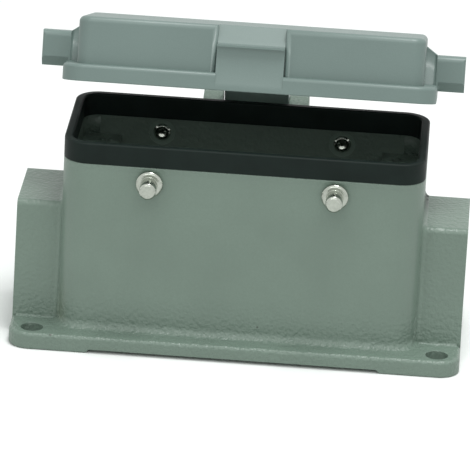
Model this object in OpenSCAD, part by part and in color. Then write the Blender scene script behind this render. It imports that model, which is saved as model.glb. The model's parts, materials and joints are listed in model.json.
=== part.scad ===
// Surface mounting housing of a 16-pole heavy duty rectangular connector, with its hinged cover.
// X runs along the housing, Y points to the hinge side, Z points up from the mounting surface.
// The origin is the middle of the four mounting holes, on the underside of the base plate.

/* [Base plate] */
// Length of the base plate
plate_l = 117; // [114:0.5:124]
// Width of the base plate
plate_w = 54.8; // [53:0.2:60]
// Height of the plate's top above the mounting surface
plate_t = 4.3; // [3.8:0.1:6]
// Radius of the plate's corners
plate_corner_r = 5.5; // [3:0.5:6]
// Rounding of the plate's upper edge
plate_edge_r = 1; // [0.4:0.1:1.4]
// Distance of the mounting holes from the plate's ends
hole_inset_x = 6; // [5:0.5:7]
// Distance of the mounting holes from the plate's long sides
hole_inset_y = 4.9; // [4.5:0.1:5.5]
// Diameter of the mounting holes
hole_d = 5.8; // [4.5:0.1:6.4]
// Length of the shallow relief under the plate
relief_l = 76; // [60:1:84]
// Depth of the relief under the plate
relief_h = 0.8; // [0.4:0.1:1.2]

/* [Housing body] */
// Length of the housing body
body_l = 93.1; // [91:0.5:97]
// Width of the housing body
body_w = 42; // [41:0.2:44]
// Height of the rim, over the seal, above the mounting surface
rim_z = 55; // [52:0.5:60]
// Outer radius of the body's upright corners
body_corner_r = 6.5; // [5:0.5:8]
// Thickness of the body's walls
wall = 2.2; // [2:0.1:2.6]
// Radius of the fillet where the body meets the plate
foot_r = 2.2; // [1.2:0.2:2.4]

/* [Cable entries] */
// Distance over the ends of the two entry bosses
boss_l = 116.8; // [113:0.2:117]
// Height of the boss tops above the mounting surface
boss_z = 35.4; // [33:0.2:37]
// Width of a boss where it meets the plate
boss_foot_w = 30.7; // [29:0.2:32]
// Width of a boss at its top
boss_top_w = 25.7; // [22:0.1:27]
// Radius of a boss's long top edges
boss_edge_r = 1.6; // [1:0.2:3]
// Radius of the fillet where a boss meets the body
boss_root_r = 1.6; // [0.8:0.1:1.8]
// Radius of the fillet where a boss meets the plate
boss_foot_r = 1; // [0.6:0.1:1.4]
// Core diameter of the entry thread, M20 x 1.5
entry_d = 18.4; // [16:0.1:19]
// Width of the chamfer at the mouth of an entry
entry_chamfer = 0.8; // [0.4:0.1:1]

/* [Contact insert seats] */
// Spacing of the insert's fixing screws along X
seat_pitch_x = 77.5; // [76:0.5:78]
// Spacing of the insert's fixing screws along Y
seat_pitch_y = 27; // [26.5:0.5:28]
// Depth of the seats below the rim
seat_depth = 11; // [10:0.5:13]
// Radius of the round corner of each seat post
post_r = 4.2; // [3.6:0.2:4.2]
// Core diameter of the fixing screw thread, M4
seat_hole_d = 3.3; // [2.8:0.1:3.5]
// Depth of the fixing screw holes
seat_hole_l = 14; // [8:0.5:16]

/* [Rim seal] */
// Height of the band that the seal covers outside
seal_h = 5.5; // [4.5:0.1:6.5]
// How much further the seal's inner leg reaches down
seal_inner_drop = 0.4; // [0.2:0.1:0.8]
// Thickness of the seal's legs
seal_leg = 0.6; // [0.5:0.05:0.7]
// Thickness of the seal over the top of the rim
seal_top = 0.9; // [0.7:0.1:1.2]
// Rounding of the seal's upper edges
seal_edge_r = 0.5; // [0.3:0.05:0.55]
// Gap between the seal and the rim that it wraps
seal_fit = 0.02; // [0.01:0.01:0.05]

/* [Locking pegs] */
// Spacing of the pegs along X
peg_pitch = 47.6; // [46:0.2:50]
// Depth of the pegs' axis below the rim
peg_depth = 9.6; // [9.4:0.1:11]
// Diameter of a peg
peg_d = 4.4; // [4:0.1:5]
// Reach of a peg beyond the wall
peg_reach = 7.1; // [6:0.1:8]
// Diameter of a peg's flange
peg_flange_d = 7; // [6.4:0.1:7.4]
// Thickness of a peg's flange
peg_flange_t = 2; // [1.2:0.1:2.4]
// Diameter of the shank through the wall
peg_shank_d = 3.6; // [3:0.1:3.8]
// Diameter of the closed head inside the wall
peg_head_d = 4.6; // [4.4:0.1:5.6]
// Height of the closed head inside the wall
peg_head_t = 0.7; // [0.5:0.1:0.9]
// Diameter of the cone pressed into the closed head
peg_dimple_d = 2.8; // [2:0.1:3]
// Diameter of the flat at the bottom of that cone
peg_dimple_flat_d = 0.9; // [0.4:0.1:1.2]
// Depth of that cone
peg_dimple_h = 0.5; // [0.2:0.1:0.6]
// Bevel on the peg's edges
peg_bevel = 0.5; // [0.2:0.1:0.6]
// Radial gap of the shank in its hole
peg_fit = 0.02; // [0.01:0.01:0.04]
// Diameter of the spot face round a closed head
spot_d = 7; // [6.4:0.2:8]
// Depth of the spot face
spot_h = 0.3; // [0.2:0.1:0.4]

/* [Hinge] */
// Distance of the hinge axis behind the body's rear wall
hinge_back = 12.3; // [11:0.1:13]
// Depth of the hinge axis below the rim
hinge_depth = 6; // [5.5:0.1:7]
// Distance over the two hinge ears
ears_l = 28; // [26:0.5:32]
// Width of each hinge ear
ear_w = 5.2; // [4:0.1:6]
// Radius of an ear's round end
ear_r = 4.3; // [3.8:0.1:4.6]
// Height of an ear's foot on the wall
ear_foot_h = 12; // [9:0.5:14]
// Drop of an ear's foot below the seal
ear_foot_gap = 0.5; // [0.4:0.1:1.5]
// Diameter of the hinge pin
pin_d = 3; // [2.5:0.1:3.4]
// Radial running gap of the cover's barrel on the pin
pin_play = 0.05; // [0.02:0.01:0.1]
// Sideways gap of the barrel at its tighter ear
barrel_gap = 0.15; // [0.1:0.05:0.3]
// Sideways gap of the barrel at its wider ear
barrel_play = 0.6; // [0.5:0.05:0.8]
// Radius of the cover's hinge barrel
barrel_r = 3.6; // [3:0.1:4]

/* [Cover] */
// Opening angle of the cover as it stands
open_angle = 16.4; // [0:0.1:90]
// Gap between the closed cover and the seal
cover_gap = 0.3; // [0.3:0.05:0.6]
// Overhang of the brim beyond the body at its ends
brim_over_x = 1.4; // [0.8:0.1:2]
// Overhang of the brim beyond the body at front and back
brim_over_y = 1.2; // [0.8:0.1:2]
// Height of the brim
brim_h = 4.4; // [3.5:0.1:5.5]
// Radius of the brim's upright corners
brim_corner_r = 5.5; // [4:0.5:8]
// Width of the ledge between brim and crown at the ends
ledge_x = 3.5; // [2.8:0.1:4]
// Width of the ledge between brim and crown at front and back
ledge_y = 2.4; // [2.2:0.1:3]
// Height of the crown above the brim
crown_h = 12.2; // [10.5:0.1:14]
// Radius of the crown's upright corners
crown_corner_r = 3.2; // [3:0.1:4]
// Radius of the crown's top edges
crown_edge_r = 1.5; // [1:0.1:2.8]
// Rounding of the brim's upper edge
brim_edge_r = 1; // [0.4:0.1:1.4]
// Wall thickness of the cover
cover_wall = 1.8; // [1.5:0.1:2.2]

/* [Finger tab] */
// Width of the tab and of the notch above it
tab_w = 17.3; // [14:0.1:22]
// Height of the notch's slope
notch_h = 4.5; // [3:0.1:4.8]
// Depth of the notch at its foot, behind the crown's front
notch_d = 0.6; // [0.3:0.1:1]
// Depth of the notch at the top of the crown
notch_top_d = 5; // [4:0.1:6]
// Radius of the crown's upright edges beside the notch
notch_corner_r = 1.3; // [0.6:0.1:1.6]
// Width of the narrow groove between those edges and the tab
notch_groove = 0.15; // [0.1:0.05:0.3]
// Drop from the foot of the slope to the lip
lip_drop = 0.3; // [0.2:0.1:0.6]
// Thickness of the lip at its root
lip_t = 0.7; // [0.6:0.1:1.2]
// Taper of the lip on each side
lip_taper = 0.1; // [0.05:0.05:0.2]
// Reach of the lip beyond the hollow under it
lip_reach = 1.2; // [0.8:0.1:1.4]
// Height of the tab's foot below the hollow
tab_foot_h = 0.8; // [0.5:0.1:2]

/* [End lugs] */
// Distance over the lugs at the cover's ends
lugs_l = 109.6; // [106:0.2:114]
// Length of each lug along X
lug_l = 7.4; // [6:0.1:7.5]
// Depth of a lug along Y
lug_w = 7; // [5:0.2:9]
// Height of a lug
lug_h = 9.3; // [7.5:0.1:9.6]
// Height of a lug's underside above the foot of the brim
lug_lift = 2.7; // [2.4:0.1:3.2]
// Size of the chamfers under a lug
lug_chamfer = 2.5; // [1:0.1:3]
// Rounding of a lug's upper edges
lug_edge_r = 1.6; // [0.8:0.1:2]
// Radius of a lug's upright outer edges
lug_end_r = 1; // [0.4:0.1:1.6]
// Thickness of the web between a lug and the crown
lug_web_w = 5.4; // [3:0.2:6]
// Rise of the web's slope against the crown
lug_web_rise = 2.1; // [1:0.1:2.4]

/* [Hidden] */
$fn = 48;
cut = 1;                                   // how far a cutting tool runs past a face
graze_depth = 0.02;                        // how far a rounding starts inside what it blends into
softer = 0.1;                              // how much wider a fillet turns than the edge it follows

tongue_z = rim_z - seal_top - seal_fit;    // top of the thin metal rim under the seal
seal_foot_z = rim_z - seal_h;
seat_z = rim_z - seat_depth;
peg_z = rim_z - peg_depth;
entry_z = (plate_t + boss_z) / 2;
boss_draft = atan2((boss_foot_w - boss_top_w) / 2, boss_z - plate_t);
hole_x = plate_l / 2 - hole_inset_x;
hole_y = plate_w / 2 - hole_inset_y;
inner_l = body_l - 2 * wall;
inner_w = body_w - 2 * wall;
inner_r = body_corner_r - wall;

hinge_y = body_w / 2 + hinge_back;
hinge_z = rim_z - hinge_depth;
ear_gap = ears_l - 2 * ear_w;
barrel_l = ear_gap - barrel_gap - barrel_play;
barrel_x = (barrel_play - barrel_gap) / 2; // the barrel stands nearer to the right ear
pin_l = ears_l;

brim_l = body_l + 2 * brim_over_x;
brim_w = body_w + 2 * brim_over_y;
brim_z = rim_z + cover_gap;                // underside of the closed cover
ledge_z = brim_z + brim_h;
crown_z = ledge_z + crown_h;
crown_l = brim_l - 2 * ledge_x;
crown_w = brim_w - 2 * ledge_y;
crown_front = -crown_w / 2;
lug_z = brim_z + lug_lift;
lug_x = lugs_l / 2 - lug_l;

notch_y = crown_front + notch_d;           // upright face behind the lip
slope_z = crown_z - notch_h;               // foot of the notch's slope
slope_top_y = crown_front + notch_top_d;
slope_angle = atan2(notch_top_d - notch_d, notch_h);
lip_z = slope_z - lip_drop;                // upper side of the lip at its root
hollow_z = lip_z - lip_t;                  // top of the hollow under the lip

dark_metal = [0.44, 0.51, 0.46];
plastic = [0.46, 0.53, 0.50];
rubber = [0.13, 0.16, 0.15];
nickel = [0.78, 0.77, 0.72];

// Rounded rectangle about the origin.
module outline(l, w, r) {
    square([l - 2 * r, w], center = true);
    square([l, w - 2 * r], center = true);
    for (x = [-1, 1], y = [-1, 1])
        translate([x * (l / 2 - r), y * (w / 2 - r)]) circle(r);
}

// Sweeps a profile round a rounded rectangle: its X is the distance outside, its Y the height.
module around(l, w, r) {
    for (side = [0, 180]) rotate(side) {
        translate([0, -w / 2, 0]) rotate([90, 0, -90])
            linear_extrude(l - 2 * r, center = true) children();
        translate([l / 2, 0, 0]) rotate([90, 0, 0])
            linear_extrude(w - 2 * r, center = true) children();
        for (y = [0, 1]) mirror([0, y]) translate([l / 2 - r, w / 2 - r, 0])
            rotate_extrude(angle = 90) translate([r, 0]) children();
    }
}

// What a rounding tool takes off a square edge that points outward and up.
module edge_cut(r) {
    difference() {
        translate([-r, -r]) square(r + cut);
        translate([-r, -r]) circle(r);
    }
}

// What a fillet adds in a corner between a wall on the left and a floor below.
module fillet_fill(r) {
    difference() {
        translate([-cut / 2, -cut / 2]) square(r + cut / 2);
        translate([r, r]) circle(r);
    }
}

// Slab with upright corners of radius r and a rounded top edge.
module soft_slab(l, w, h, r, edge_r) {
    difference() {
        linear_extrude(h) outline(l, w, r);
        translate([0, 0, h]) around(l, w, r) edge_cut(edge_r);
    }
}

// Point where a line from p grazes the circle of radius r round c, just inside its edge.
// side is 1 or -1 for the two such lines.
function graze(p, c, r, side) =
    let (d = p - c, inner = r - graze_depth, a = atan2(d[1], d[0]) + side * acos(inner / norm(d)))
    c + inner * [cos(a), sin(a)];

// Arm in the Y-Z plane, rooted in a wall at y from z_low to z_high, with a round end at c.
module arm_2d(y, z_low, z_high, root, c, r) {
    translate(c) circle(r);
    polygon([[y - root, z_low], [y - root, z_high], [y, z_high], graze([y, z_high], c, r, -1), c,
             graze([y, z_low], c, r, 1), [y, z_low]]);
}

// Turns a shape drawn in the Y-Z plane into a slice along X, centred at x.
module slice_x(x, l) {
    translate([x, 0, 0]) rotate([90, 0, 90]) linear_extrude(l, center = true) children();
}

module cyl_x(x, l, d) {
    translate([x, 0, 0]) rotate([0, 90, 0]) cylinder(d = d, h = l, center = true);
}

// ---------- housing ----------

module plate() {
    difference() {
        soft_slab(plate_l, plate_w, plate_t, plate_corner_r, plate_edge_r);
        for (x = [-1, 1], y = [-1, 1])
            translate([x * hole_x, y * hole_y, -cut])
                cylinder(d = hole_d, h = plate_t + 2 * cut);
        rotate([90, 0, 0]) linear_extrude(plate_w + 2 * cut, center = true)
            polygon([[-relief_l / 2 - cut, -cut], [relief_l / 2 + cut, -cut],
                     [relief_l / 2 - relief_h, relief_h], [-relief_l / 2 + relief_h, relief_h]]);
    }
}

// Centre of an arc of radius r that touches a boss's top and its flank, across its width.
function boss_edge_c(r) =
    [boss_top_w / 2 + r * tan(boss_draft) - r / cos(boss_draft), boss_z - r];

// One entry boss, drawn across its width: a trapezium with two rounded top edges.
module boss_2d() {
    c = boss_edge_c(boss_edge_r);
    flank = c + boss_edge_r * [cos(boss_draft), sin(boss_draft)];
    foot = boss_foot_w / 2;
    polygon([[-foot, plate_t / 2], [-foot, plate_t], [-flank[0], flank[1]], [-c[0], boss_z],
             [c[0], boss_z], flank, [foot, plate_t], [foot, plate_t / 2]]);
    for (y = [-1, 1]) translate([y * c[0], c[1]]) circle(boss_edge_r);
}

// Fillets between the boss's two flanks and the plate, drawn across the boss's width. They
// start just inside the boss's surface.
module boss_foot_2d() {
    reach = boss_foot_r * tan(45 - boss_draft / 2);
    start_y = boss_foot_w / 2 - graze_depth;
    for (side = [0, 1]) mirror([side, 0]) translate([start_y, plate_t]) difference() {
        polygon([[-cut, -plate_t / 2], [reach, -plate_t / 2], [reach, 0],
                 reach * [-sin(boss_draft), cos(boss_draft)], [-cut, reach]]);
        translate([reach, boss_foot_r]) circle(boss_foot_r);
    }
}

// Fillet between the right boss and the end of the body, along its flanks, edges and top. It
// starts just inside the boss's surface.
module boss_root() {
    c = boss_edge_c(boss_edge_r + softer);
    start_r = boss_edge_r + softer - graze_depth;
    flank_l = (c[1] - plate_t / 2) / cos(boss_draft);
    turn = 90 - boss_draft;
    translate([body_l / 2, 0, c[1] + start_r]) rotate([90, 0, 0])
        linear_extrude(2 * c[0], center = true) fillet_fill(boss_root_r);
    for (side = [0, 1]) mirror([0, side, 0]) translate([body_l / 2, c[0], c[1]]) {
        rotate([0, 90, 0]) rotate(180 - turn) rotate_extrude(angle = turn)
            translate([start_r, 0]) fillet_fill(boss_root_r);
        rotate([-turn, 0, 0]) translate([0, flank_l, start_r]) rotate([90, 0, 0])
            linear_extrude(flank_l) fillet_fill(boss_root_r);
    }
}

// Post in a corner of the cavity, with one round corner, for a fixing screw of the insert.
module post_2d() {
    x = seat_pitch_x / 2;
    y = seat_pitch_y / 2;
    bury = wall / 2;
    intersection() {
        union() {
            translate([x, y]) circle(post_r);
            translate([x - post_r, y]) square([inner_l, inner_w]);
            translate([x, y - post_r]) square([inner_l, inner_w]);
        }
        outline(inner_l + 2 * bury, inner_w + 2 * bury, inner_r + bury);
    }
}

module ear_2d() {
    foot_top = seal_foot_z - ear_foot_gap;
    arm_2d(body_w / 2, foot_top - ear_foot_h, foot_top, wall / 2, [hinge_y, hinge_z], ear_r);
}

module housing() color(dark_metal) {
    difference() {
        union() {
            plate();
            translate([0, 0, plate_t / 2]) linear_extrude(seal_foot_z - plate_t / 2)
                outline(body_l, body_w, body_corner_r);
            translate([0, 0, seal_foot_z - cut]) linear_extrude(tongue_z - seal_foot_z + cut)
                outline(body_l - 2 * (seal_leg + seal_fit), body_w - 2 * (seal_leg + seal_fit),
                        body_corner_r - seal_leg - seal_fit);
            translate([0, 0, plate_t]) around(body_l, body_w, body_corner_r) fillet_fill(foot_r);
            slice_x(0, boss_l) boss_2d();
            slice_x(0, plate_l - 2 * plate_edge_r) boss_foot_2d();
            for (side = [0, 180]) rotate(side) boss_root();
            for (x = [-1, 1]) slice_x(x * (ears_l - ear_w) / 2, ear_w) ear_2d();
        }
        // the cavity, which leaves the four posts standing
        translate([0, 0, plate_t]) linear_extrude(rim_z) difference() {
            outline(inner_l, inner_w, inner_r);
            for (x = [0, 1], y = [0, 1]) mirror([x, 0]) mirror([0, y]) post_2d();
        }
        translate([0, 0, seat_z]) linear_extrude(rim_z) outline(inner_l, inner_w, inner_r);
        // the inner leg of the seal
        translate([0, 0, seal_foot_z - seal_inner_drop]) linear_extrude(rim_z)
            outline(inner_l + 2 * (seal_leg + seal_fit), inner_w + 2 * (seal_leg + seal_fit),
                    inner_r + seal_leg + seal_fit);
        for (x = [-1, 1], y = [-1, 1])
            translate([x * seat_pitch_x / 2, y * seat_pitch_y / 2, seat_z - seat_hole_l])
                cylinder(d = seat_hole_d, h = seat_hole_l + cut);
        for (x = [-1, 1], side = [0, 180]) rotate(side)
            translate([x * peg_pitch / 2, -body_w / 2, peg_z]) rotate([-90, 0, 0]) {
                translate([0, 0, -cut]) cylinder(d = peg_shank_d + 2 * peg_fit, h = wall + 2 * cut);
                translate([0, 0, wall - spot_h]) cylinder(d = spot_d, h = spot_h + cut);
            }
        for (side = [0, 180]) rotate(side) translate([0, 0, entry_z]) {
            reach = (boss_l - inner_l) / 2;
            cyl_x((boss_l - reach) / 2, reach + 2 * cut, entry_d);
            translate([boss_l / 2 - entry_chamfer, 0, 0]) rotate([0, 90, 0])
                cylinder(d1 = entry_d, d2 = entry_d + 2 * entry_chamfer + 2 * cut,
                         h = entry_chamfer + cut);
        }
        translate([0, hinge_y, hinge_z]) cyl_x(0, ears_l + 2 * cut, pin_d);
    }
}

// ---------- rim seal ----------

// Channel section: two legs over the rim and a rounded top.
module seal_2d() {
    difference() {
        translate([-wall, -seal_inner_drop]) square([wall, seal_h + seal_inner_drop]);
        translate([-wall + seal_leg, -seal_inner_drop - cut])
            square([wall - 2 * seal_leg, seal_h + seal_inner_drop + cut - seal_top]);
        translate([-seal_leg - cut / 2, -seal_inner_drop - cut])
            square([seal_leg + cut, seal_inner_drop + cut]);
        translate([0, seal_h]) edge_cut(seal_edge_r);
        translate([-wall, seal_h]) mirror([1, 0]) edge_cut(seal_edge_r);
    }
}

module rim_seal() color(rubber) {
    translate([0, 0, seal_foot_z]) around(body_l, body_w, body_corner_r) seal_2d();
}

// ---------- locking pegs ----------

// Turned peg, drawn outward from the outer face of the wall; inside it is closed to a head
// with a pressed cone in its middle.
module peg() {
    head_z = -wall + spot_h;
    tip_z = head_z - peg_head_t;
    rotate_extrude() polygon([
        [0, tip_z + peg_dimple_h], [peg_dimple_flat_d / 2, tip_z + peg_dimple_h],
        [peg_dimple_d / 2, tip_z], [peg_head_d / 2 - peg_bevel, tip_z],
        [peg_head_d / 2, tip_z + peg_bevel], [peg_head_d / 2, head_z],
        [peg_shank_d / 2, head_z], [peg_shank_d / 2, 0],
        [peg_flange_d / 2 - peg_bevel, 0], [peg_flange_d / 2, peg_bevel],
        [peg_flange_d / 2, peg_flange_t - peg_bevel],
        [peg_flange_d / 2 - peg_bevel, peg_flange_t],
        [peg_d / 2, peg_flange_t], [peg_d / 2, peg_reach - peg_bevel],
        [peg_d / 2 - peg_bevel, peg_reach], [0, peg_reach]]);
}

module placed_peg(x, y) color(nickel) {
    translate([x * peg_pitch / 2, y * body_w / 2, peg_z]) rotate([-90 * y, 0, 0]) peg();
}

// ---------- hinge pin ----------

module hinge_pin() color(nickel) {
    translate([0, hinge_y, hinge_z]) cyl_x(0, pin_l, pin_d);
}

// ---------- cover, drawn closed ----------

// Side view of the middle of the front: a block from the brim up to the lip.
module tab_2d() {
    front = -brim_w / 2;
    root = notch_y + cover_wall / 2;
    polygon([[root, brim_z], [front, brim_z], [front, hollow_z], [root, hollow_z]]);
    polygon([[front, hollow_z + lip_taper], [front, lip_z - lip_taper], [notch_y, lip_z],
             [root, lip_z], [root, hollow_z - lip_t], [front + lip_reach, hollow_z]]);
}

// Hollow for the finger, one arc that starts upright under the lip and runs out near the foot.
module hollow_2d() {
    front = -brim_w / 2;
    h = hollow_z - brim_z - tab_foot_h;
    r = (pow(h, 2) + pow(lip_reach, 2)) / (2 * lip_reach);
    intersection() {
        translate([front + lip_reach - r, hollow_z]) circle(r, $fn = 8 * $fn);
        translate([front - cut, brim_z]) square([lip_reach + 2 * cut, hollow_z - brim_z]);
    }
}

// What the notch takes off the front of the crown.
module notch_2d() {
    polygon([[-brim_w, brim_z - cut], [-brim_w, crown_z + cut], [slope_top_y, crown_z + cut],
             [slope_top_y, crown_z], [notch_y, slope_z], [notch_y, brim_z - cut]]);
}

// The notch and the wall behind it, which the inside of the crown has to leave standing.
module notch_wall_2d() {
    y = notch_y + cover_wall;
    z = slope_z - cover_wall * tan(slope_angle / 2);
    top_y = y + (crown_z - cover_wall - z) * tan(slope_angle);
    polygon([[-brim_w, brim_z - 2 * cut], [-brim_w, crown_z], [top_y, crown_z],
             [top_y, crown_z - cover_wall], [y, z], [y, brim_z - 2 * cut]]);
}

// What rounds the upright edge of the crown beside the notch, seen from above.
module notch_corner_2d() {
    difference() {
        translate([tab_w / 2, crown_front - cut])
            square([notch_groove + notch_corner_r, notch_corner_r + cut]);
        translate([tab_w / 2 + notch_groove + notch_corner_r, crown_front + notch_corner_r])
            circle(notch_corner_r);
    }
}

module crown_outside() {
    difference() {
        translate([0, 0, brim_z]) soft_slab(crown_l, crown_w, brim_h + crown_h, crown_corner_r,
                                            crown_edge_r);
        slice_x(0, tab_w) notch_2d();
        for (side = [0, 1]) mirror([side, 0, 0])
            translate([0, 0, brim_z - cut]) linear_extrude(crown_z) notch_corner_2d();
    }
}

module crown_inside() {
    difference() {
        translate([0, 0, brim_z - cut]) linear_extrude(brim_h + crown_h - cover_wall + cut)
            outline(crown_l - 2 * cover_wall, crown_w - 2 * cover_wall,
                    crown_corner_r - cover_wall);
        slice_x(0, tab_w + 2 * cover_wall) notch_wall_2d();
    }
}

// Lug at the right end, drawn across its depth.
module lug_2d() {
    half = lug_w / 2;
    top = lug_z + lug_h;
    polygon([[-half + lug_chamfer, lug_z], [half - lug_chamfer, lug_z],
             [half, lug_z + lug_chamfer], [half, top - lug_edge_r], [half - lug_edge_r, top],
             [-half + lug_edge_r, top], [-half, top - lug_edge_r], [-half, lug_z + lug_chamfer]]);
    for (y = [-1, 1]) translate([y * (half - lug_edge_r), top - lug_edge_r]) circle(lug_edge_r);
}

// Web between the crown and the lug, seen from above, with a fillet against the lug.
module web_2d() {
    root_x = crown_l / 2 - cover_wall / 2;
    r = (lug_w - lug_web_w) / 2;
    translate([root_x, -lug_web_w / 2]) square([lug_x + cut - root_x, lug_web_w]);
    for (side = [0, 1]) mirror([0, side])
        translate([lug_x, lug_web_w / 2]) mirror([1, 0]) fillet_fill(r);
}

module lug() {
    top = lug_z + lug_h;
    intersection() {
        slice_x(lug_x + lug_l / 2, lug_l) lug_2d();
        translate([0, 0, lug_z - cut]) linear_extrude(lug_h + 2 * cut)
            outline(lugs_l, lug_w, lug_end_r);
    }
    intersection() {
        translate([0, 0, lug_z]) linear_extrude(crown_z - lug_z) web_2d();
        rotate([90, 0, 0]) linear_extrude(lug_w, center = true)
            polygon([[0, ledge_z - brim_edge_r], [lug_x + cut, ledge_z - brim_edge_r],
                     [lug_x + cut, top - lug_edge_r], [lug_x, top - lug_edge_r], [lug_x, top],
                     [crown_l / 2, top + lug_web_rise], [0, top + lug_web_rise]]);
    }
}

module hinge_arm_2d() {
    arm_2d(brim_w / 2, brim_z, ledge_z, ledge_y, [hinge_y, hinge_z], barrel_r);
}

module closed_cover() {
    difference() {
        union() {
            translate([0, 0, brim_z])
                soft_slab(brim_l, brim_w, brim_h, brim_corner_r, brim_edge_r);
            crown_outside();
            slice_x(0, tab_w) tab_2d();
            for (side = [0, 1]) mirror([side, 0, 0]) lug();
            slice_x(barrel_x, barrel_l) hinge_arm_2d();
        }
        slice_x(0, tab_w) hollow_2d();
        crown_inside();
        translate([0, hinge_y, hinge_z])
            cyl_x(barrel_x, barrel_l + 2 * cut, pin_d + 2 * pin_play);
    }
}

module cover() color(plastic) {
    translate([0, hinge_y, hinge_z]) rotate([-open_angle, 0, 0])
        translate([0, -hinge_y, -hinge_z]) closed_cover();
}

housing();
rim_seal();
placed_peg(-1, -1);  // peg_front_left
placed_peg(1, -1);  // peg_front_right
placed_peg(-1, 1);  // peg_rear_left
placed_peg(1, 1);  // peg_rear_right
hinge_pin();
cover();
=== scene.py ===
"""Looks of a surface mounting connector housing with a hinged cover, dressed over its CAD frame."""
import json
import math

import bmesh
import bpy
from mathutils import Matrix, Vector


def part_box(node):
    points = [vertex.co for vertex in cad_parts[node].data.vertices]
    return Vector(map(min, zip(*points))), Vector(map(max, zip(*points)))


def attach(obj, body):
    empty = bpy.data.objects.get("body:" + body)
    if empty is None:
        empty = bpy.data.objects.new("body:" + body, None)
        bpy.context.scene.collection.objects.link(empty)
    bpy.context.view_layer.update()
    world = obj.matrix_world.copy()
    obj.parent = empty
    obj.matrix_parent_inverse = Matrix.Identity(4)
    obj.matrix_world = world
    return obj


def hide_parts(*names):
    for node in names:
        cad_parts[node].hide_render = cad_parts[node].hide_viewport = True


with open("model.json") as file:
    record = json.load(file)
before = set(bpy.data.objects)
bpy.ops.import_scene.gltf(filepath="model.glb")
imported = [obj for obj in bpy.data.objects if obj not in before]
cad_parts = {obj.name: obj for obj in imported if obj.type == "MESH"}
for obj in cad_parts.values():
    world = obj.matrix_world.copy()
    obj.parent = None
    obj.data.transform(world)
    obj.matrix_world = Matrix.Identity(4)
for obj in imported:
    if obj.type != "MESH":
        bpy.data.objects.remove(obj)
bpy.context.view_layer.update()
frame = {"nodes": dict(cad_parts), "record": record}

MM = 0.001
scene = bpy.context.scene
record = frame["record"]


# ---------- sizes read from the frame ----------

def box_mm(node):
    """Lowest and highest corner of a CAD node, in millimetres."""
    low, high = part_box(node)
    return Vector(low) / MM, Vector(high) / MM


def mount(name):
    return next(m for m in record["mounts"] if m["name"] == name)


# The seal's outside is flush with the body's walls.
seal_high = box_mm("rim_seal")[1]
BODY_X = seal_high.x
BODY_Y = seal_high.y
# The bosses end 0.1 mm short of the plate's ends.
BOSS_X = box_mm("housing")[1].x - 0.1
ENTRY_Z = mount("cable_entry_right")["pos_m"][2] / MM
ENTRY_R = mount("cable_entry_right")["dims"]["r_mm"]
hinge = next(j for j in record["behaviour"]["joints"] if j["name"] == "cover_hinge")
HINGE = Vector(hinge["pos_m"]) / MM
OPEN = math.radians(-hinge["range_deg"][0])
holes = mount("base_holes")["dims"]
HOLE_X = holes["spacing_x_mm"] / 2
HOLE_Y = holes["spacing_y_mm"] / 2
HOLE_R = holes["hole_r_mm"]

# Sizes of the casting and the moulding that the frame doesn't state, in millimetres.
PLATE_TOP = 4.3
WALL = 2.2
SEAL_FOOT = 49.5
CORNER_R = 6.5
TAB_HALF_WIDTH = 9.2


def closed(point):
    """Where a point of the cover, in millimetres, lies when the cover is shut."""
    return Matrix.Rotation(OPEN, 3, "X") @ (point - HINGE) + HINGE


# ---------- node materials ----------

class Nodes:
    """Short-hand for building one material's node tree."""

    def __init__(self, name):
        self.material = bpy.data.materials.new(name)
        self.material.use_nodes = True
        self.tree = self.material.node_tree
        self.shader = self.tree.nodes["Principled BSDF"]

    def add(self, kind, inputs=None, **settings):
        node = self.tree.nodes.new(kind)
        for key, value in settings.items():
            setattr(node, key, value)
        for key, value in (inputs or {}).items():
            if isinstance(value, bpy.types.NodeSocket):
                self.tree.links.new(value, node.inputs[key])
            else:
                node.inputs[key].default_value = value
        return node

    def link(self, out, name):
        self.tree.links.new(out, self.shader.inputs[name])

    def coords(self):
        """Object coordinates, in millimetres."""
        place = self.add("ShaderNodeTexCoord").outputs["Object"]
        return self.add("ShaderNodeMapping", {"Vector": place, "Scale": (1 / MM,) * 3}).outputs[0]

    def noise(self, vector, scale, detail=3.0, roughness=0.5):
        inputs = {"Vector": vector, "Scale": scale, "Detail": detail, "Roughness": roughness}
        return self.add("ShaderNodeTexNoise", inputs).outputs["Fac"]

    def cells(self, vector, scale):
        inputs = {"Vector": vector, "Scale": scale, "Smoothness": 0.0}
        return self.add("ShaderNodeTexVoronoi", inputs, feature="SMOOTH_F1").outputs["Distance"]

    def ramp(self, value, low, high, out_low=0.0, out_high=1.0):
        inputs = {"Value": value, "From Min": low, "From Max": high,
                  "To Min": out_low, "To Max": out_high}
        return self.add("ShaderNodeMapRange", inputs).outputs["Result"]

    def math(self, operation, first, second=0.0):
        return self.add("ShaderNodeMath", {0: first, 1: second}, operation=operation).outputs[0]

    def blend(self, factor, first, second):
        node = self.add("ShaderNodeMix", data_type="RGBA")
        for socket, value in zip((node.inputs[0], node.inputs[6], node.inputs[7]),
                                 (factor, first, second)):
            if isinstance(value, bpy.types.NodeSocket):
                self.tree.links.new(value, socket)
            else:
                socket.default_value = value
        return node.outputs[2]

    def bump(self, height, depth_mm, normal=None):
        inputs = {"Height": height, "Distance": depth_mm * MM, "Strength": 1.0}
        if normal is not None:
            inputs["Normal"] = normal
        return self.add("ShaderNodeBump", inputs).outputs["Normal"]


def linear(red, green, blue):
    """A colour given as 0-255 screen values, as the linear colour that a shader takes."""
    def channel(value):
        value /= 255
        return value / 12.92 if value <= 0.04045 else ((value + 0.055) / 1.055) ** 2.4
    return (channel(red), channel(green), channel(blue), 1.0)


def shade(colour, factor):
    return tuple(factor * c for c in colour[:3]) + (1.0,)


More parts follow.
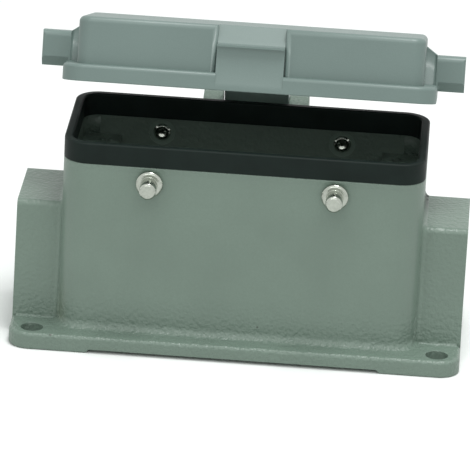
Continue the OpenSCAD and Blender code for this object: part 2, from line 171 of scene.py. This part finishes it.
def paint(name, base, roughness, outside):
    """Enamel sprayed on a casting: orange peel, coarse on bosses and plate, finer on walls."""
    n = Nodes(name)
    place = n.coords()
    axes = n.add("ShaderNodeSeparateXYZ", {0: place})
    x, y, z = (axes.outputs[i] for i in range(3))
    if outside:
        across = n.math("ABSOLUTE", x)
        ends = n.ramp(across, BODY_X - 0.5, BODY_X + 1.0)
        low = n.ramp(z, 5.0, 17.0, 1.0, 0.0)
        under_seal = n.ramp(z, SEAL_FOOT - 1.6, SEAL_FOOT - 0.4, 0.0, 0.7)
        coarse = n.math("MAXIMUM", n.math("MULTIPLY", ends, 0.5), low)
        coarse = n.math("MAXIMUM", coarse, under_seal)
    else:
        coarse = 0.5
    blotches = n.noise(place, 0.05, 3.0)
    fine = n.noise(place, 2.4, 2.0)
    colour = n.blend(n.ramp(blotches, 0.35, 0.65), shade(base, 0.96), shade(base, 1.04))
    colour = n.blend(n.ramp(fine, 0.35, 0.75, 0.0, 0.35), colour, shade(base, 0.86))
    if outside:
        # a yellowish film that has settled in the corner by the left boss, and a few dark specks
        corner = n.math("MULTIPLY", n.ramp(x, -BODY_X - 1.5, -BODY_X + 3.0, 1.0, 0.0),
                        n.ramp(x, -BODY_X - 3.5, -BODY_X - 1.0))
        corner = n.math("MULTIPLY", corner, n.ramp(z, 4.6, 6.0))
        corner = n.math("MULTIPLY", corner, n.ramp(z, 7.0, 18.0, 1.0, 0.0))
        corner = n.math("MULTIPLY", corner, n.ramp(y, -BODY_Y + 3.0, -BODY_Y + 6.0, 1.0, 0.0))
        colour = n.blend(n.math("MULTIPLY", corner, n.ramp(fine, 0.3, 0.7, 0.25, 0.6)), colour,
                         linear(112, 116, 78))
        spots = n.cells(place, 0.045)
        colour = n.blend(n.ramp(spots, 0.012, 0.02, 0.75, 0.0), colour, linear(60, 68, 60))
    n.link(colour, "Base Color")
    n.link(n.ramp(fine, 0.3, 0.7, roughness - 0.05, roughness + 0.06), "Roughness")
    peel = n.noise(place, 1.0, 1.5)
    height = n.math("MULTIPLY", peel, n.ramp(coarse, 0.0, 1.0, 0.08, 1.0))
    n.link(n.bump(fine, 0.010, n.bump(height, 0.45)), "Normal")
    return n.material


def plastic(name, base):
    """Moulded plastic with a fine spark-eroded grain."""
    n = Nodes(name)
    place = n.coords()
    clouds = n.noise(place, 0.05, 3.0)
    grain = n.noise(place, 3.4, 3.0, 0.6)
    colour = n.blend(n.ramp(clouds, 0.3, 0.7), shade(base, 0.96), shade(base, 1.04))
    colour = n.blend(n.ramp(grain, 0.4, 0.7, 0.0, 0.25), colour, shade(base, 1.22))
    n.link(colour, "Base Color")
    n.link(n.ramp(grain, 0.3, 0.7, 0.34, 0.46), "Roughness")
    n.link(n.bump(grain, 0.022), "Normal")
    return n.material


def rubber(name, base):
    """Nitrile rubber with a slight bloom."""
    n = Nodes(name)
    place = n.coords()
    bloom = n.noise(place, 0.15, 4.0)
    dust = n.noise(place, 4.0, 2.0)
    colour = n.blend(n.ramp(bloom, 0.35, 0.7), base, shade(base, 1.35))
    colour = n.blend(n.ramp(dust, 0.62, 0.75, 0.0, 0.5), colour, shade(base, 2.0))
    n.link(colour, "Base Color")
    n.link(n.ramp(bloom, 0.3, 0.7, 0.42, 0.55), "Roughness")
    n.link(n.bump(dust, 0.008), "Normal")
    n.shader.inputs["Specular IOR Level"].default_value = 0.14
    return n.material


def bright_metal(name, base):
    """Nickel plated steel with faint turning marks."""
    n = Nodes(name)
    place = n.coords()
    stretched = n.add("ShaderNodeMapping", {"Vector": place, "Scale": (1.0, 9.0, 1.0)}).outputs[0]
    marks = n.noise(stretched, 1.4, 4.0, 0.6)
    dust = n.noise(place, 1.2, 3.0)
    n.link(n.blend(n.ramp(dust, 0.35, 0.75), base, shade(base, 0.84)), "Base Color")
    n.link(n.ramp(marks, 0.3, 0.7, 0.12, 0.26), "Roughness")
    n.link(n.bump(marks, 0.004), "Normal")
    n.shader.inputs["Metallic"].default_value = 1.0
    return n.material


PAINT = linear(116, 135, 123)
paint_outside = paint("paint_outside", PAINT, 0.36, True)
# The inside's paint is the outside's colour at three quarters: painted shade for the inside of the
# box, which the open cover keeps out of the light.
paint_inside_painted_shade = paint("paint_inside_painted_shade", shade(PAINT, 0.75), 0.45, False)
cover_plastic = plastic("cover_plastic", linear(110, 128, 123))
seal_rubber = rubber("seal_rubber", linear(22, 32, 29))
bright_steel = bright_metal("bright_steel", linear(184, 190, 180))


# ---------- pieces made over the CAD nodes ----------

def new_piece(name, bm, body, materials):
    """Turns a bmesh into a smooth-shaded piece that rides on a body."""
    mesh = bpy.data.meshes.new(name)
    bm.to_mesh(mesh)
    bm.free()
    piece = bpy.data.objects.new(name, mesh)
    scene.collection.objects.link(piece)
    for material in materials:
        mesh.materials.append(material)
    mesh.shade_smooth()
    mesh.set_sharp_from_angle(angle=math.radians(36))
    weighted = piece.modifiers.new("normals", "WEIGHTED_NORMAL")
    weighted.keep_sharp = True
    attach(piece, body)
    return piece


def clean_copy(node):
    """The CAD node's mesh with its triangles joined into flat faces again."""
    bm = bmesh.new()
    bm.from_mesh(frame["nodes"][node].data)
    bmesh.ops.remove_doubles(bm, verts=bm.verts, dist=1e-6)
    bmesh.ops.dissolve_limit(bm, angle_limit=math.radians(0.5), verts=bm.verts, edges=bm.edges)
    return bm


def round_edges(bm, width_mm, pick, segments=3):
    """Rounds the edges bent more than 30 degrees whose two ends, in millimetres, pick accepts."""
    limit = math.radians(30)
    edges = [e for e in bm.edges
             if len(e.link_faces) == 2 and e.calc_face_angle(0) > limit
             and all(pick(v.co / MM) for v in e.verts)]
    bmesh.ops.bevel(bm, geom=edges, offset=width_mm * MM, offset_type="OFFSET",
                    segments=segments, profile=0.5, affect="EDGES", clamp_overlap=True)


def near(value, target, reach=0.05):
    return abs(value - target) < reach


def on_body_side(p, reach=0.05):
    """True on the upright outside of the body."""
    return near(abs(p.x), BODY_X, reach) or near(abs(p.y), BODY_Y, reach) or (
        abs(p.x) > BODY_X - CORNER_R - 0.1 and abs(p.y) > BODY_Y - CORNER_R - 0.1
        and near(math.hypot(abs(p.x) - BODY_X + CORNER_R, abs(p.y) - BODY_Y + CORNER_R),
                 CORNER_R, reach))


def entry_r(p):
    """Distance from the common axis of the two cable entries."""
    return math.hypot(p.y, p.z - ENTRY_Z)


def hole_r(p):
    """Distance from the axis of the nearest mounting hole."""
    return math.hypot(abs(p.x) - HOLE_X, abs(p.y) - HOLE_Y)


def hinge_r(p):
    """Distance from the hinge's axis."""
    return math.hypot(p.y - HINGE.y, p.z - HINGE.z)


def make_housing():
    bm = clean_copy("housing")
    # the painted edge under the seal
    round_edges(bm, 0.35, lambda p: near(p.z, SEAL_FOOT) and on_body_side(p))
    # upright ends of the bosses
    round_edges(bm, 0.5, lambda p: near(abs(p.x), BOSS_X, 0.02) and p.z > PLATE_TOP - 0.01
                and entry_r(p) > ENTRY_R + 1.2)
    # mouths of the mounting holes and of the entries
    round_edges(bm, 0.3, lambda p: near(p.z, PLATE_TOP, 0.02) and abs(p.y) > BODY_Y - 2
                and near(hole_r(p), HOLE_R), segments=2)
    round_edges(bm, 0.2, lambda p: near(abs(p.x), BOSS_X, 0.02) and entry_r(p) < ENTRY_R + 1.2,
                segments=2)
    # ears
    round_edges(bm, 0.4, lambda p: p.y > BODY_Y + 0.2 and p.z > 20 and hinge_r(p) > 2)
    # lower edge of the plate
    round_edges(bm, 0.25, lambda p: p.z < 0.85 and hole_r(p) > HOLE_R + 0.3, segments=2)
    # Faces inside the walls, above the plate, take the darkened inside paint, which is painted
    # shade.
    for face in bm.faces:
        centre = face.calc_center_median() / MM
        inside = abs(centre.x) < BODY_X - WALL + 0.1 and abs(centre.y) < BODY_Y - WALL + 0.1
        face.material_index = 1 if inside and centre.z > PLATE_TOP - 0.2 else 0
    spans = cut_entries(bm)
    piece = new_piece("housing_skin", bm, "base", [paint_outside, paint_inside_painted_shade])
    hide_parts("housing")
    for side, (start, end) in spans.items():
        make_thread(side, start, end)


def cut_entries(bm):
    """Takes the plain bores out of the two entries and returns where along X each one ran."""
    spans = {}
    for side, name in ((-1, "left"), (1, "right")):
        wall = [f for f in bm.faces if f.calc_center_median().x * side > 0.04
                and near(entry_r(f.calc_center_median() / MM), ENTRY_R, 0.06)
                and abs(f.normal.x) < 0.1]
        along = [v.co.x / MM for f in wall for v in f.verts]
        spans[name] = (min(along), max(along))
        bmesh.ops.delete(bm, geom=wall, context="FACES")
    return spans


def make_thread(name, start, end, pitch=1.5, depth=0.75, steps=8, round_steps=72):
    """Helical thread in an entry: its crests are at the bore of the CAD model."""
    bm = bmesh.new()
    count = round(steps * (end - start) / pitch)
    rings = []
    for i in range(count + 1):
        x = start + (end - start) * i / count
        fade = min(1.0, (x - start) / pitch, (end - x) / pitch)
        ring = []
        for j in range(round_steps):
            turn = j / round_steps
            wave = 0.5 - 0.5 * math.cos(math.tau * (x / pitch - turn))
            r = ENTRY_R + depth * fade * min(1.0, 1.25 * wave)
            angle = math.tau * turn
            ring.append(bm.verts.new(Vector((x, r * math.cos(angle),
                                             ENTRY_Z + r * math.sin(angle))) * MM))
        rings.append(ring)
    for first, second in zip(rings, rings[1:]):
        for j in range(round_steps):
            k = (j + 1) % round_steps
            bm.faces.new((first[j], second[j], second[k], first[k]))
    new_piece("thread_" + name, bm, "base", [paint_outside])


def make_cover():
    bm = clean_copy("cover")
    top = max(closed(v.co / MM).z for v in bm.verts)
    foot = min(closed(v.co / MM).z for v in bm.verts if closed(v.co / MM).y < BODY_Y)

    def shut(test):
        return lambda p: test(closed(p))

    def on_tab(p):
        return abs(p.x) < TAB_HALF_WIDTH and p.y < -BODY_Y

    # lower edges of the brim, outside and inside
    round_edges(bm, 0.3, shut(lambda p: near(p.z, foot) and p.y < BODY_Y + 1.3
                              and not on_tab(p)))
    # lugs
    round_edges(bm, 0.3, shut(lambda p: abs(p.x) > BODY_X + 0.9 and foot + 2 < p.z < top - 3))
    # hinge arm
    round_edges(bm, 0.4, shut(lambda p: p.y > BODY_Y + 1.4 and hinge_r(p) > 2))
    # foot of the finger tab
    round_edges(bm, 0.2, shut(lambda p: near(p.z, foot) and on_tab(p)))
    piece = new_piece("cover_skin", bm, "cover", [cover_plastic])
    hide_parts("cover")


def make_plain(node, material, width_mm):
    bm = clean_copy(node)
    round_edges(bm, width_mm, lambda p: True)
    piece = new_piece(node + "_skin", bm, "base", [material])
    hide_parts(node)


make_housing()
make_cover()
make_plain("rim_seal", seal_rubber, 0.1)
for peg in ("peg_front_left", "peg_front_right", "peg_rear_left", "peg_rear_right"):
    make_plain(peg, bright_steel, 0.1)
make_plain("hinge_pin", bright_steel, 0.2)


# ---------- floor, light and camera ----------

def make_floor():
    bpy.ops.mesh.primitive_plane_add(size=6.0, location=(0, 0, -0.0001))
    floor = bpy.context.active_object
    floor.name = "floor"
    n = Nodes("floor_pale")
    seen = n.add("ShaderNodeLightPath").outputs["Is Camera Ray"]
    n.link(n.blend(seen, (0.84, 0.85, 0.84, 1.0), (0.97, 1.0, 0.985, 1.0)), "Base Color")
    n.shader.inputs["Roughness"].default_value = 0.9
    n.shader.inputs["Specular IOR Level"].default_value = 0.1
    floor.data.materials.append(n.material)


def make_world():
    world = bpy.data.worlds.new("studio")
    scene.world = world
    world.use_nodes = True
    tree = world.node_tree
    background = tree.nodes["Background"]
    rays = tree.nodes.new("ShaderNodeLightPath")
    seen = tree.nodes.new("ShaderNodeMath")
    seen.operation = "MAXIMUM"
    tree.links.new(rays.outputs["Is Camera Ray"], seen.inputs[0])
    tree.links.new(rays.outputs["Is Glossy Ray"], seen.inputs[1])
    strength = tree.nodes.new("ShaderNodeMapRange")
    strength.inputs["To Min"].default_value = 0.55
    strength.inputs["To Max"].default_value = 1.0
    tree.links.new(seen.outputs[0], strength.inputs["Value"])
    tree.links.new(strength.outputs["Result"], background.inputs["Strength"])
    background.inputs["Color"].default_value = (1, 1, 1, 1)


def softbox(name, place, target, size, power):
    data = bpy.data.lights.new(name, "AREA")
    data.shape = "RECTANGLE"
    data.size, data.size_y = size
    data.energy = power
    lamp = bpy.data.objects.new(name, data)
    lamp.location = place
    lamp.rotation_euler = (Vector(target) - Vector(place)).to_track_quat("-Z", "Y").to_euler()
    scene.collection.objects.link(lamp)


def make_camera():
    """Camera placed by its bearing round a target point, in degrees and metres."""
    yaw, elevation, roll = (math.radians(a) for a in (-2.78, 20.57, 3.01))
    distance = 1.24753
    target = Vector((-0.00225, 0.0, 0.02498))
    back = Vector((-math.sin(yaw) * math.cos(elevation), -math.cos(yaw) * math.cos(elevation),
                   math.sin(elevation)))
    right = (-back).cross(Vector((0, 0, 1))).normalized()
    up = right.cross(-back)
    right_rolled = right * math.cos(roll) + up * math.sin(roll)
    up_rolled = up * math.cos(roll) - right * math.sin(roll)
    data = bpy.data.cameras.new("camera")
    data.sensor_width = 36.0
    data.lens = 365.5233
    camera = bpy.data.objects.new("camera", data)
    scene.collection.objects.link(camera)
    turn = Matrix((right_rolled, up_rolled, back)).transposed().to_4x4()
    camera.matrix_world = Matrix.Translation(target + back * distance) @ turn
    scene.camera = camera


make_floor()
make_world()
softbox("top_softbox", (0.12, -0.02, 0.95), (0.0, 0.0, 0.0), (0.30, 0.30), 4.8)
softbox("front_softbox", (-0.1, -0.90, 1.0), (0.0, 0.0, 0.03), (1.4, 0.7), 4.5)
make_camera()
scene.view_settings.view_transform = "Standard"
